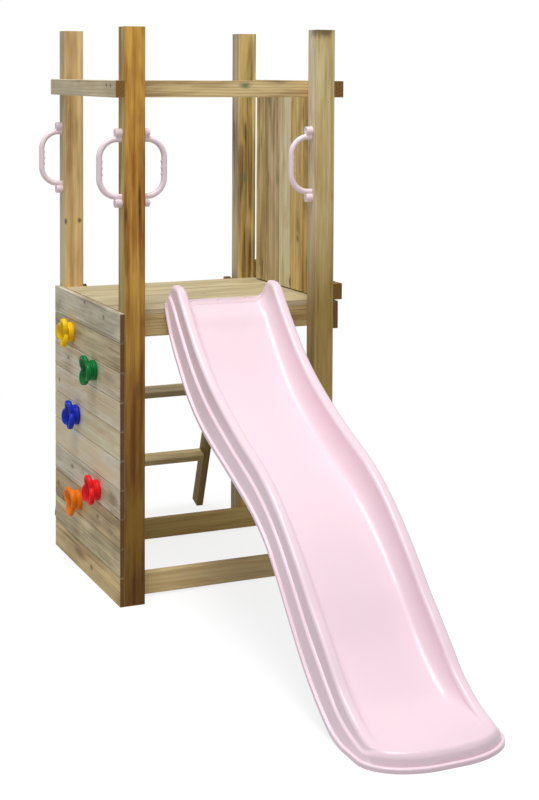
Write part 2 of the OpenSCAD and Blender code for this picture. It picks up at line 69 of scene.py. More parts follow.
# Sockets of the mix node when it mixes colours
MIX_FACTOR, MIX_A, MIX_B, MIX_RESULT = 0, 6, 7, 2
# Worn edges and clear coat
EDGE_SAMPLES, EDGE_STEP = 4, (0.01, 0.16)
COAT_ROUGH = 0.08


def lin(rgb):
    """Linear colour of an sRGB colour given from 0 to 255."""
    out = []
    for c in rgb:
        c = c / 255
        out.append(c / 12.92 if c <= 0.04045 else ((c + 0.055) / 1.055) ** 2.4)
    return (*out, 1.0)


def times(rgb, factor, plus=0):
    """sRGB colour made brighter or darker, no channel above 255."""
    return [min(255, c * factor + plus) for c in rgb]


class Tree:
    """Shader nodes of a new material or world, with short ways to add and link them."""

    def __init__(self, owner):
        self.owner = owner
        owner.use_nodes = True
        self.tree = owner.node_tree
        self.tree.nodes.clear()

    def add(self, kind, **settings):
        """New node with its settings."""
        node = self.tree.nodes.new(kind)
        for name, value in settings.items():
            setattr(node, name, value)
        return node

    def put(self, socket, value):
        """Link a socket to an output, or set its constant."""
        if isinstance(value, bpy.types.NodeSocket):
            self.tree.links.new(value, socket)
        else:
            socket.default_value = value

    def fill(self, node, values):
        """Put values on a node's sockets by name."""
        for name, value in values.items():
            self.put(node.inputs[name], value)
        return node

    def chain(self, kind, *values, **settings):
        """First output of a new node whose sockets take the values in order."""
        node = self.add(kind, **settings)
        for socket, value in zip(node.inputs, values):
            self.put(socket, value)
        return node.outputs[0]

    def end(self, kind, shader):
        """Output node of the tree."""
        self.put(self.add(kind).inputs[0], shader)

    def place(self):
        """Object coordinates."""
        return self.add("ShaderNodeTexCoord").outputs["Object"]

    def math(self, op, a, b=0.0, c=None, clamp=False):
        """Result of a math node."""
        values = (a, b) if c is None else (a, b, c)
        return self.chain("ShaderNodeMath", *values, operation=op, use_clamp=clamp)

    def vec(self, op, a, b=(0, 0, 0)):
        """Result of a vector math node: a number for a length or a dot product, else a vector."""
        node = self.add("ShaderNodeVectorMath", operation=op)
        self.put(node.inputs[0], a)
        self.put(node.inputs[1], b)
        return node.outputs["Value" if op in ("LENGTH", "DOT_PRODUCT") else "Vector"]

    def mix(self, factor, a, b, blend="MIX"):
        """Colour from a to b."""
        node = self.add("ShaderNodeMix", data_type="RGBA", blend_type=blend)
        self.put(node.inputs[MIX_FACTOR], factor)
        self.put(node.inputs[MIX_A], a)
        self.put(node.inputs[MIX_B], b)
        return node.outputs[MIX_RESULT]

    def noise(self, vector, scale=1.0, detail=2.0, rough=0.5, distort=0.0):
        """Soft noise from 0 to 1."""
        node = self.fill(self.add("ShaderNodeTexNoise"), {
            "Vector": vector, "Scale": scale, "Detail": detail, "Roughness": rough,
            "Distortion": distort,
        })
        return node.outputs[0]

    def step(self, value, low, high):
        """Smooth step from 0 at low to 1 at high."""
        node = self.add("ShaderNodeMapRange", interpolation_type="SMOOTHSTEP")
        self.fill(node, {"Value": value, "From Min": low, "From Max": high})
        return node.outputs[0]

    def fade(self, value, low, high):
        """Smooth step from 1 at low to 0 at high."""
        return self.math("SUBTRACT", 1.0, self.step(value, low, high))

    def edge(self, radius):
        """1 on a convex or concave edge, 0 on a flat face."""
        bevel = self.add("ShaderNodeBevel", samples=EDGE_SAMPLES)
        self.put(bevel.inputs["Radius"], radius)
        normal = self.add("ShaderNodeNewGeometry").outputs["Normal"]
        dot = self.vec("DOT_PRODUCT", bevel.outputs[0], normal)
        return self.step(self.math("SUBTRACT", 1.0, dot), *EDGE_STEP)

    def finish(self, colour, rough, bump, strength, distance, coat=0.0, specular=0.5, metal=0.0):
        """Surface with fine relief. Returns the material."""
        relief = self.fill(self.add("ShaderNodeBump"), {
            "Strength": strength, "Distance": distance, "Height": bump,
        })
        surface = self.fill(self.add("ShaderNodeBsdfPrincipled"), {
            "Base Color": colour, "Roughness": rough, "Normal": relief.outputs[0],
            "Metallic": metal, "Coat Weight": coat, "Coat Roughness": COAT_ROUGH,
            "Specular IOR Level": specular,
        })
        self.end("ShaderNodeOutputMaterial", surface.outputs[0])
        return self.owner


# Pine: steps are the spans of noise over which a tone sets in, shares are its weight
GRAIN_ORDER = {"x": (1, 2, 0), "y": (0, 2, 1), "z": (0, 1, 2)}
SHIFT, SHIFT_V, SHIFT_W = (2, 40), 0.7, 1.3
PITH_U, PITH_V = (0.02, 0.06), (-0.07, -0.03)
RING_PITCH, RING_WARP, RING_SHARP = 0.0095, 0.035, 2.0
RING_SHARE, RING_RELIEF = 0.7, 0.5
BAND_STEP, BAND_SHARE = (0.37, 0.65), 0.55
CLOUD_STEP, CLOUD_SHARE = (0.39, 0.61), 0.75
FIBRE_SHARE, FIBRE_ROUGH, PINE_ROUGH = 0.75, 0.22, 0.52
KNOT_STEP, KNOT_RAGGED, KNOT_CORE = (0.10, 0.17), 0.05, (84, 60, 34)
HALO_STEP, HALO_SHARE = (0.12, 0.42), 0.45
GREY_STEP, GREY = (0.30, 0.66), (160, 154, 134)
GREEN_STEP, GREEN = (0.56, 0.72), (118, 136, 98)
MARK_STEP, MARK_WOBBLE = (0.6, 1.5), 0.7
SIDE_LIGHT_STEP = (0.6, 0.8)
END_STEP, END_SHARE, END_RINGS, END_DARK = (0.75, 0.9), 0.96, 0.5, 0.72
WORN_RADIUS, WORN_SHARE, WORN_LIGHT = 0.005, 0.22, 1.12
# Noise of the grain: cells in a metre across and along it, and how the noise is drawn
WARP = dict(across=5, length=0.9, detail=3)
BANDS = dict(across=62, length=1.6, extra=3.0, detail=3, rough=0.6)
CLOUDS = dict(across=12, length=2.4, extra=15.0, detail=3, rough=0.6, distort=0.3)
FIBRES = dict(across=380, length=9, extra=7.0, detail=3, rough=0.6)
BLOTCHES = dict(across=7, length=2.6, extra=11.0, detail=3, rough=0.55, distort=0.4)
KNOT_CELLS = dict(across=11, length=4.2, extra=5.0)
RAGGED = dict(across=60, length=30, detail=2)
WOBBLE = dict(across=90, length=40, extra=9.0, detail=2)


class Grain:
    """Coordinates across (u, v) and along (w) one timber's grain, and noise drawn out along it."""

    def __init__(self, tree, centre, along, tilt, shift):
        self.tree, self.shift = tree, shift
        self.place = tree.vec("SUBTRACT", tree.place(), tuple(centre))
        if tilt:
            turn = tree.add("ShaderNodeVectorRotate", rotation_type="X_AXIS")
            self.place = tree.fill(turn, {"Vector": self.place, "Angle": -tilt}).outputs[0]
        parts = tree.add("ShaderNodeSeparateXYZ")
        tree.put(parts.inputs[0], self.place)
        self.u, self.v, self.w = (parts.outputs[i] for i in GRAIN_ORDER[along])

    def coords(self, across, length, extra=0.0):
        """Texture coordinates with so many cells in a metre across and along the grain."""
        t, shift = self.tree, self.shift
        return t.chain(
            "ShaderNodeCombineXYZ",
            t.math("MULTIPLY_ADD", self.u, across, shift + extra),
            t.math("MULTIPLY_ADD", self.v, across, shift * SHIFT_V),
            t.math("MULTIPLY_ADD", self.w, length, shift * SHIFT_W),
        )

    def noise(self, across, length, extra=0.0, **how):
        """Noise with so many cells in a metre across and along the grain."""
        return self.tree.noise(self.coords(across, length, extra), **how)


def growth_rings(t, grain, pith_u, pith_v):
    """Late wood of the year rings, from 0 to 1, round a pith beside the timber's middle."""
    from_pith = t.chain(
        "ShaderNodeCombineXYZ", t.math("ADD", grain.u, pith_u), t.math("ADD", grain.v, pith_v))
    warp = grain.noise(**WARP)
    radius = t.math("MULTIPLY_ADD", warp, RING_WARP, t.vec("LENGTH", from_pith))
    wave = t.math("SINE", t.math("MULTIPLY", radius, 2 * math.pi / RING_PITCH))
    return t.math("POWER", t.math("MULTIPLY_ADD", wave, 0.5, 0.5), RING_SHARP)


def knot_spots(t, grain, amount):
    """Cores of scattered knots, and the darker wood round them."""
    spots = t.fill(t.add("ShaderNodeTexVoronoi"), {
        "Vector": grain.coords(**KNOT_CELLS), "Scale": 1.0, "Randomness": 0.9,
    })
    ragged = grain.noise(**RAGGED)
    far = t.math("MULTIPLY_ADD", ragged, KNOT_RAGGED, spots.outputs["Distance"])
    core = t.math("MULTIPLY", t.fade(far, *KNOT_STEP), amount)
    halo = t.math("MULTIPLY", t.fade(far, *HALO_STEP), HALO_SHARE * amount)
    return core, halo


def add_marks(t, grain, colour, centre, along, marks):
    """Colour with single knots, stains, dark patches and painted shadows."""
    wobble = grain.noise(**WOBBLE)
    for place, across, length, strength, rgb in marks:
        at = Vector(place) - MID - Vector(centre)
        scale = tuple(1 / (length if axis == along else across) for axis in "xyz")
        off = t.vec("MULTIPLY", t.vec("SUBTRACT", grain.place, tuple(at)), scale)
        off = t.math("MULTIPLY_ADD", wobble, MARK_WOBBLE, t.vec("LENGTH", off))
        spot = t.math("MULTIPLY", t.fade(off, *MARK_STEP), strength)
        colour = t.mix(spot, colour, lin(rgb))
    return colour


def wood(name, centre, along, light, dark, grey=0.0, green=0.0, knots=0.3, streak=0.5, rings=0.3,
         tilt=0.0, end=(112, 78, 38), side=None, foot=None, marks=()):
    """Pine with rings, streaks, fibres, knots, stains and worn edges. along is the grain's axis.

    side is a tint of painted light on the faces to the left and right, foot is a tint of the lower
    end and the heights between which it fades, marks are single knots, stains, dark patches and
    a painted shadow.
    """
    t = Tree(bpy.data.materials.new("wood_" + name))
    rnd = random.Random(name)
    grain = Grain(t, centre, along, tilt, rnd.uniform(*SHIFT))
    late = growth_rings(t, grain, rnd.uniform(*PITH_U), rnd.uniform(*PITH_V))
    bands = t.step(grain.noise(**BANDS), *BAND_STEP)
    cloud = t.step(grain.noise(**CLOUDS), *CLOUD_STEP)
    fibre = grain.noise(**FIBRES)
    knot, halo = knot_spots(t, grain, knots)

    tone = t.math("MULTIPLY", bands, BAND_SHARE * streak)
    tone = t.math("MULTIPLY_ADD", cloud, CLOUD_SHARE * streak, tone)
    tone = t.math("MULTIPLY_ADD", late, RING_SHARE * rings, tone)
    tone = t.math("MULTIPLY_ADD", t.math("SUBTRACT", fibre, 0.5), FIBRE_SHARE, tone)
    tone = t.math("ADD", tone, halo, clamp=True)
    colour = t.mix(tone, lin(light), lin(dark))

    blotch = grain.noise(**BLOTCHES)
    for amount, span, rgb in ((grey, GREY_STEP, GREY), (green, GREEN_STEP, GREEN)):
        if amount:
            stain = t.math("MULTIPLY", t.step(blotch, *span), amount)
            colour = t.mix(stain, colour, lin(rgb))
    colour = t.mix(knot, colour, lin(KNOT_CORE))
    colour = add_marks(t, grain, colour, centre, along, marks)
    if foot:
        tint, low, high = foot
        rise = t.step(grain.w, low - centre[2], high - centre[2])
        colour = t.mix(1.0, colour, t.mix(rise, (*tint, 1.0), WHITE), "MULTIPLY")

    normal = t.add("ShaderNodeNewGeometry").outputs["True Normal"]
    # painted light: faces to the left and right take the side tint, a cooler light that falls on
    # them
    if side:
        side_light = t.math("ABSOLUTE", t.vec("DOT_PRODUCT", normal, (1, 0, 0)))
        colour = t.mix(t.step(side_light, *SIDE_LIGHT_STEP), colour, (*side, 1.0), "MULTIPLY")
    axis = {"x": (1, 0, 0), "y": (0, 1, 0), "z": (0, -math.sin(tilt), math.cos(tilt))}[along]
    face = t.math("ABSOLUTE", t.vec("DOT_PRODUCT", normal, axis))
    face = t.math("MULTIPLY", t.step(face, *END_STEP), END_SHARE)
    ends = t.mix(t.math("MULTIPLY", late, END_RINGS), lin(end), lin(times(end, END_DARK)))
    colour = t.mix(face, colour, ends)
    worn = t.math("MULTIPLY", t.edge(WORN_RADIUS), WORN_SHARE)
    colour = t.mix(worn, colour, lin(times(light, WORN_LIGHT)))

    rough = t.math("MULTIPLY_ADD", fibre, FIBRE_ROUGH, PINE_ROUGH)
    height = t.math("SUBTRACT", t.math("MULTIPLY_ADD", late, RING_RELIEF, fibre), knot)
    return t.finish(colour, rough, height, strength=0.35, distance=0.0012, specular=0.35)


# Plastic: lighter edges, broad changes of tone and scuffs that run along the slide
PLASTIC_EDGE, EDGE_LIGHT, EDGE_PLUS = 0.004, 1.06, 6
BROAD_SCALE, BROAD_SHARE, BROAD_DARK, BROAD_ROUGH = 3.0, 0.35, 0.965, 0.06
SCUFF_SCALE, SCUFF_STEP, SCUFF_ROUGH = (160.0, 9.0, 160.0), (0.60, 0.78), 0.05


def plastic(name, rgb, rough, grain, strength, coat=0.0, worn=0.15, specular=0.5):
    """Moulded plastic with slight tone changes, fine grain, scuffs and lighter edges."""
    t = Tree(bpy.data.materials.new(name))
    place = t.place()
    broad = t.noise(place, BROAD_SCALE)
    fine = t.noise(place, grain, rough=0.6)
    scuff = t.noise(t.vec("MULTIPLY", place, SCUFF_SCALE), detail=3.0, rough=0.65)
    scuff = t.step(scuff, *SCUFF_STEP)
    shade = t.math("MULTIPLY", broad, BROAD_SHARE)
    colour = t.mix(shade, lin(rgb), lin(times(rgb, BROAD_DARK)))
    edges = t.math("MULTIPLY", t.edge(PLASTIC_EDGE), worn)
    colour = t.mix(edges, colour, lin(times(rgb, EDGE_LIGHT, EDGE_PLUS)))
    uneven = t.math("MULTIPLY_ADD", scuff, SCUFF_ROUGH, rough)
    uneven = t.math("MULTIPLY_ADD", broad, BROAD_ROUGH, uneven)
    return t.finish(colour, uneven, fine, strength, distance=0.0004, coat=coat, specular=specular)


# Steel: tones and the span of noise between them, least roughness and how much it varies
ZINC_LIGHT, ZINC_DARK, ZINC_STEP = (176, 178, 180), (150, 150, 150), (0.3, 0.7)
ZINC_ROUGH, ZINC_UNEVEN = 0.25, 0.2


def steel(name):
    """Zinc-plated steel with a fine grain."""
    t = Tree(bpy.data.materials.new(name))
    fine = t.noise(t.place(), scale=900.0, detail=3.0, rough=0.6)
    colour = t.mix(t.step(fine, *ZINC_STEP), lin(ZINC_LIGHT), lin(ZINC_DARK))
    rough = t.math("MULTIPLY_ADD", fine, ZINC_UNEVEN, ZINC_ROUGH)
    return t.finish(colour, rough, fine, strength=0.2, distance=0.0002, metal=1.0)


def give(obj, mat):
    """Give an object one material."""
    obj.data.materials.clear()
    obj.data.materials.append(mat)


# Timber: light and dark tone of each piece
TONES = {
    "post_front_left": ((252, 199, 92), (168, 101, 28)),
    "post_front_right": ((252, 238, 178), (200, 168, 102)),
    "post_back_left": ((247, 214, 149), (167, 125, 71)),
    "post_back_right": ((247, 214, 131), (111, 80, 35)),
    "wall_board_1": ((250, 221, 160), (156, 121, 74)),
    "wall_board_2": ((252, 238, 189), (152, 128, 89)),
    "wall_board_3": ((225, 200, 150), (127, 101, 63)),
    "wall_board_4": ((252, 243, 219), (184, 164, 125)),
    "wall_board_5": ((252, 243, 217), (245, 214, 158)),
    "wall_board_6": ((252, 243, 207), (218, 186, 139)),
    "wall_board_7": ((252, 243, 219), (222, 193, 147)),
    "wall_board_8": ((252, 243, 219), (203, 174, 126)),
    "wall_board_9": ((242, 224, 182), (143, 116, 80)),
    "wall_board_10": ((252, 243, 218), (160, 144, 109)),
    "deck_board_1": ((216, 203, 163), (161, 140, 99)),
    "deck_board_2": ((218, 205, 164), (162, 141, 100)),
    "deck_board_3": ((214, 201, 162), (160, 139, 98)),
    "deck_board_4": ((216, 203, 163), (161, 140, 99)),
    "deck_board_5": ((218, 205, 164), (162, 141, 100)),
    "deck_board_6": ((214, 201, 162), (160, 139, 98)),
    "panel_board_1": ((247, 213, 126), (127, 94, 42)),
    "panel_board_2": ((247, 218, 140), (160, 119, 61)),
    "panel_board_3": ((247, 241, 203), (205, 173, 110)),
    "panel_board_4": ((235, 210, 159), (118, 91, 60)),
    "panel_board_5": ((247, 226, 159), (149, 117, 67)),
    "deck_beam_front": ((247, 221, 154), (136, 101, 53)),
    "deck_beam_back": ((198, 168, 112), (152, 120, 72)),
    "joist_left": ((186, 156, 104), (142, 112, 66)),
    "joist_right": ((186, 156, 104), (142, 112, 66)),
    "deck_edge_right": ((186, 160, 108), (142, 114, 70)),
    # The bottom rails' tones are lighter, painted light against the shade that falls on them under
    # the deck.
    "bottom_rail_front": ((246, 221, 162), (212, 172, 108)),
    "bottom_rail_back": ((240, 212, 136), (194, 154, 78)),
    "top_rail_left": ((247, 230, 192), (196, 172, 130)),
    "top_rail_right": ((196, 170, 116), (150, 122, 74)),
    "top_rail_front": ((247, 219, 158), (145, 110, 60)),
    "panel_rail_right": ((180, 152, 104), (136, 108, 66)),
    "ladder_side_left": ((170, 142, 76), (112, 87, 42)),
    "ladder_side_right": ((172, 143, 74), (112, 86, 40)),
    "rung_1": ((247, 229, 174), (176, 145, 93)),
    "rung_2": ((205, 187, 147), (159, 138, 99)),
    "rung_3": ((180, 158, 112), (134, 110, 70)),
}
# Knots, stains, dark patches and a painted shadow seen on single pieces: place, half size across
# and along the grain, strength and tone
KNOT, DARK, STAIN, MOSS = (88, 64, 36), (70, 46, 18), (132, 96, 54), (112, 128, 84)
MARKS = {
    "post_front_left": [
        ((0.003, 0, 1.194), 0.007, 0.04, 0.6, DARK),
        # painted shadow of the front handle's foot, a dark streak down the post's front face
        ((0.046, 0, 1.229), 0.005, 0.09, 0.7, DARK),
    ],
    "post_front_right": [((0.655, 0.01, 1.765), 0.05, 0.035, 0.75, DARK)],
    "post_back_left": [
        ((0.002, 0.635, 1.123), 0.008, 0.012, 0.8, KNOT),
        ((0.051, 0.635, 1.125), 0.008, 0.010, 0.8, KNOT),
    ],
    "post_back_right": [
        ((0.657, 0.635, 1.254), 0.011, 0.022, 0.8, MOSS),
        ((0.660, 0.635, 1.420), 0.005, 0.060, 0.7, DARK),
    ],
    "top_rail_front": [((0.419, 0.065, 1.588), 0.012, 0.026, 0.85, MOSS)],
    "top_rail_left": [
        ((-0.030, 0.087, 1.587), 0.007, 0.009, 0.7, KNOT),
        ((-0.030, 0.048, 1.587), 0.007, 0.009, 0.7, KNOT),
    ],
    "panel_board_2": [((0.684, 0.243, 1.077), 0.012, 0.016, 0.6, KNOT)],
    # a darker patch at the board's lower end
    "panel_board_3": [((0.686, 0.305, 0.927), 0.009, 0.025, 0.7, DARK)],
    "panel_board_4": [((0.684, 0.408, 1.267), 0.014, 0.040, 0.6, MOSS)],
    "panel_board_5": [
        ((0.684, 0.547, 1.395), 0.005, 0.050, 0.7, DARK),
        ((0.684, 0.534, 0.947), 0.006, 0.050, 0.7, DARK),
    ],
    "deck_board_3": [((0.377, 0.315, 0.900), 0.008, 0.012, 0.7, KNOT)],
    "wall_board_1": [
        ((-0.016, 0.420, 0.051), 0.024, 0.070, 0.6, STAIN),
        ((-0.016, 0.289, 0.040), 0.011, 0.018, 0.7, KNOT),
    ],
    "wall_board_3": [
        ((-0.016, 0.665, 0.225), 0.010, 0.018, 0.7, KNOT),
        ((-0.016, 0.605, 0.188), 0.008, 0.014, 0.7, KNOT),
        ((-0.016, 0.225, 0.222), 0.009, 0.016, 0.6, KNOT),
    ],
    "wall_board_4": [
        ((-0.016, 0.498, 0.319), 0.010, 0.022, 0.6, KNOT),
        ((-0.016, 0.073, 0.318), 0.024, 0.060, 0.6, STAIN),
    ],
    "wall_board_7": [((-0.016, 0.650, 0.583), 0.009, 0.014, 0.6, KNOT)],
    "wall_board_8": [
        ((-0.016, 0.112, 0.687), 0.016, 0.080, 0.35, STAIN),
        ((-0.016, 0.543, 0.676), 0.009, 0.016, 0.7, KNOT),
    ],
    "wall_board_10": [
        ((-0.016, 0.362, 0.886), 0.008, 0.014, 0.7, KNOT),
        ((-0.016, 0.162, 0.866), 0.009, 0.014, 0.7, KNOT),
    ],
}
WALL_BOARDS, DECK_BOARDS, PANEL_BOARDS, RUNGS = 10, 6, 5, 3


def timber(node, along, **more):
    """Dress one timber in pine of its own tones."""
    lo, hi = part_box(node)
    light, dark = TONES[node]
    marks = MARKS.get(node, ())
    give(nodes[node], wood(node, (lo + hi) / 2, along, light, dark, marks=marks, **more))


# The side tints below are painted light on the posts' left and right faces.
timber("post_front_left", "z", streak=0.75, side=(0.85, 1.11, 2.15),
       foot=((0.25, 0.22, 0.08), -0.1, 1.6))
timber("post_front_right", "z", streak=0.6, green=0.2, side=(0.98, 1.03, 1.45),
       foot=((0.52, 0.43, 0.25), 0.8, 1.5))
timber("post_back_left", "z", side=(0.96, 1.12, 1.51))
timber("post_back_right", "z", streak=0.65, green=0.15, side=(0.87, 0.99, 1.81))
for i in range(WALL_BOARDS):
    timber(f"wall_board_{i + 1}", "y", grey=0.12, green=0.15, knots=0.2, streak=0.6, rings=0.2,
           end=(112, 70, 4))
for i in range(DECK_BOARDS):
    timber(f"deck_board_{i + 1}", "x", knots=0.2, end=(150, 116, 66))
for i in range(PANEL_BOARDS):
    timber(f"panel_board_{i + 1}", "z", streak=0.6, green=0.2)
for node in ("deck_beam_front", "deck_beam_back", "bottom_rail_front", "bottom_rail_back"):
    timber(node, "x", streak=0.55)
for node in ("joist_left", "joist_right", "deck_edge_right"):
    timber(node, "y")
timber("top_rail_left", "y", grey=0.3, streak=0.4, rings=0.2, knots=0.15, end=(144, 98, 16))
timber("top_rail_right", "y", end=(140, 98, 48))
timber("top_rail_front", "x", streak=0.55, green=0.2)
timber("panel_rail_right", "y", end=(126, 88, 26))
for node in ("ladder_side_left", "ladder_side_right"):
    timber(node, "z", streak=0.6, tilt=LEAN)
for i in range(RUNGS):
    timber(f"rung_{i + 1}", "x", end=(120, 88, 46))

STEEL = steel("zinc_steel")
for node in ("hold_bolts", "hold_nuts", "ladder_bolts"):
    give(nodes[node], STEEL)


# Wave slide: the same curves as the solid, with more sections and rounded edges. The distance d
# runs from the deck's front edge down the slide.
# Plate that laps over the deck, thickness of the skin, height of the sides and of the exit
LAP, PLATE, CLEAR, SKIN, SIDE, LIP = 0.085, 0.008, 0.003, 0.005, 0.088, 0.044
# Drop of the skirt below the floor at the top, in the middle and at the end, where it changes as
# shares of the run, and the distances over which it is let down at the deck
SKIRT_TOP, SKIRT_MID, SKIRT_LOW = 0.060, 0.021, 0.050
SKIRT_RISE, SKIRT_FALL, SKIRT_START = (0.10, 0.40), (0.53, 0.68), (-0.020, 0.055)
# Half section from outside to inside: flange, ledge, rim and trough
HALF, FLANGE_W, FLANGE_H, LEDGE_W, TAPER, LEDGE_UP = 0.200, 0.009, 0.012, 0.008, 0.003, 0.56
RIM_W, RIM_R = 0.033, 0.012
LEDGE_HALF = HALF - FLANGE_W - TAPER
RIM_HALF = LEDGE_HALF - LEDGE_W - TAPER
RIM_TOP = RIM_HALF - RIM_W / 2
TROUGH = RIM_HALF - RIM_W
# Rounds of the flange's edge and of the corners inside it, as ways out and up from each corner
FLANGE_R = 0.003
FLANGE_CORNER = ((0.003, 0.0), (0.0008, 0.0006), (0.0, 0.003))
LEDGE_CORNER = ((0.0004, -0.004), (-0.0004, -0.0012), (-0.0018, 0.0005))
RIM_CORNER = ((0.002, -0.0012), (0.0, 0.0), (-0.0006, 0.003))
# Inner wall of the trough: points, reach toward the middle and bend of its curve
WALL_STEPS, WALL_IN, WALL_OUT_BEND, WALL_UP_BEND = 12, 0.28, 1.5, 2.1
FLOOR_SHARES = (0.5, 0.25, 0.0)
# Underside: shares of the skin straight down, and the bounds between its stretches
SKIN_FLANGE, SKIN_OUTER, SKIN_RIM, SKIN_FOOT = 1.0, 0.5, 0.6, 0.6
FLANGE_BOUND, OUTER_BOUND, FLOOR_BOUND = LEDGE_HALF + 0.0005, RIM_HALF - 0.002, TROUGH * 0.80
SKIN_TURN = 0.01
# Wave of the floor: shares of the run and of the fall
WAVE_RUN = [0, 0.031, 0.059, 0.143, 0.227, 0.352, 0.478, 0.562, 0.645, 0.729, 0.813, 0.855, 0.907]
WAVE_FALL = [1, 0.963, 0.911, 0.774, 0.673, 0.566, 0.477, 0.389, 0.270, 0.133, 0.033, 0.010, 0]
WAVE_TOP = DECK + PLATE / 2
# Ears over the deck as shares of the lap, and the stretch of the run where the sides fade
EAR_START, EAR_END, EAR_ROUND, DIP, PLATE_HALF = -0.61, 0.70, -0.35, -0.47, 0.78
FADE_START, FADE_END = 0.727, 0.956
# Rounded exit: half width of its straight end, length, share of it left where the lip is full,
# round of the edge, start, depth that follows the outline, and halvings that find a point on it
TIP_HALF, TIP_LEN, TIP_FULL, TIP_R = 0.030, 0.115, 0.55, 0.004
TIP_START, TIP_DEEP, TIP_TURNS = RUN - TIP_LEN, RIM_W + HALF - RIM_HALF, 40
# Sections: distances from the plate's end and from the exit's end, and counts between them
PLATE_STATIONS = (0.0, 0.002, 0.005, 0.015, 0.024)
TIP_STATIONS = (
    0.0270, 0.0200, 0.0180, 0.0124, 0.0110, 0.0095, FLANGE_W, 0.0030, 0.0010, 0.0004, 0.0)
EAR_STEPS, PLATE_STEPS, WAVE_STEPS, TIP_STEPS = 12, 9, 90, 24
HEAD_FROM, HEAD_PITCH, HEAD_STEPS = 0.008, 0.006, 16
WAVE_FROM, WAVE_TO = 0.106, RUN - TIP_LEN - 0.004


def clamp(t):
    """Number kept from 0 to 1."""
    return min(1.0, max(0.0, t))


def part_way(t, a, b):
    """Share of the way from a to b."""
    return clamp((t - a) / (b - a))


def round_out(t):
    """Quarter of a circle, steep at 0 and level at 1."""
    return math.sqrt(max(0.0, 1 - (1 - t) ** 2))


def ease(t):
    """Smooth step, level at 0 and at 1."""
    c = clamp(t)
    return c * c * (3 - 2 * c)


def curve(xs, ys, x):
    """Smooth curve through the points of two lists."""
    if x <= xs[0]:
        return ys[0]
    if x >= xs[-1]:
        return ys[-1]
    i = max(k for k in range(len(xs) - 1) if xs[k] <= x)

    def lean(k):
        a, b = max(0, k - 1), min(len(xs) - 1, k + 1)
        return (ys[b] - ys[a]) / (xs[b] - xs[a])

    w = xs[i + 1] - xs[i]
    t = (x - xs[i]) / w
    a, b = lean(i) * w, lean(i + 1) * w
    return (ys[i] * (2 * t**3 - 3 * t * t + 1) + a * (t**3 - 2 * t * t + t)
            + ys[i + 1] * (3 * t * t - 2 * t**3) + b * (t**3 - t * t))


def arc(cx, cy, rx, ry, a0, a1, n):
    """Points of an elliptic arc from angle a0 to a1 in degrees."""
    out = []
    for k in range(n + 1):
        a = math.radians(a0 + (a1 - a0) * k / n)
        out.append((cx + rx * math.cos(a), cy + ry * math.sin(a)))
    return out


def floor_z(d):
    """Height of the plate or of the trough's floor."""
    if d < CLEAR:
        return DECK + PLATE - (PLATE / 2) * ease(part_way(d / LAP, DIP, 0))
    return LIP + (WAVE_TOP - LIP) * curve(WAVE_RUN, WAVE_FALL, d / RUN)


def side_share(d):
    """Share of their full height that the sides have."""
    rise = 1 - (1 - part_way(d / LAP, EAR_START, EAR_END)) ** 2
    return rise * (1 - ease(part_way(d / RUN, FADE_START, FADE_END)))


def foot_z(d):
    """Height of the deck or of the skirt's lower edge."""
    if d < CLEAR:
        return DECK
    rise = ease(part_way(d / RUN, *SKIRT_RISE))
    fall = ease(part_way(d / RUN, *SKIRT_FALL))
    skirt = SKIRT_TOP + (SKIRT_MID - SKIRT_TOP) * rise + (SKIRT_LOW - SKIRT_MID) * fall
    return max(0.0, floor_z(d) - skirt * ease(part_way(d, *SKIRT_START)))


def plan_half(d):
    """Half width in plan."""
    if d < CLEAR:
        ears = round_out(part_way(d / LAP, EAR_START, EAR_ROUND))
        return HALF * (PLATE_HALF + (1 - PLATE_HALF) * ears)
    return TIP_HALF + (HALF - TIP_HALF) * round_out(part_way(RUN - d, 0, TIP_LEN))


def inset(d, e):
    """Half width at distance d of a line that runs a distance e inside the exit's outline."""
    if d <= TIP_START:
        return HALF - e
    if d >= RUN - e:
        return TIP_HALF * (RUN - d) / e if e > 0 else TIP_HALF
    a, b = HALF - TIP_HALF, TIP_LEN

    def at(angle):
        nx, ny = math.cos(angle) / a, math.sin(angle) / b
        n = math.hypot(nx, ny)
        x = TIP_HALF + a * math.cos(angle) - e * nx / n
        return x, TIP_START + b * math.sin(angle) - e * ny / n

    low, high = 0.0, math.pi / 2
    for _ in range(TIP_TURNS):
        half = (low + high) / 2
        low, high = (half, high) if at(half)[1] < d else (low, half)
    return at((low + high) / 2)[0]


def tip_limit(e):
    """Height of the exit's lip at a distance e from its outline."""
    if e >= 3 * FLANGE_W:
        return LIP + SIDE
    if e <= FLANGE_W:
        return FLANGE_H - TIP_R + TIP_R * round_out(min(1.0, e / TIP_R))
    return FLANGE_H + (LIP - FLANGE_H) * round_out((e - FLANGE_W) / (2 * FLANGE_W))


def across(d, x):
    """Half width in plan, at distance d, of the point x of the half section."""
    if d <= TIP_START:
        spread = ease(part_way(d / LAP, EAR_START, 0.0))
        wide = min(x, RIM_HALF) + max(0.0, x - RIM_HALF) * spread
        return max(wide * (plan_half(d) / HALF), x * PLATE_HALF)
    if HALF - x <= TIP_DEEP:
        return inset(d, HALF - x)
    return inset(d, TIP_DEEP) * x / (HALF - TIP_DEEP)


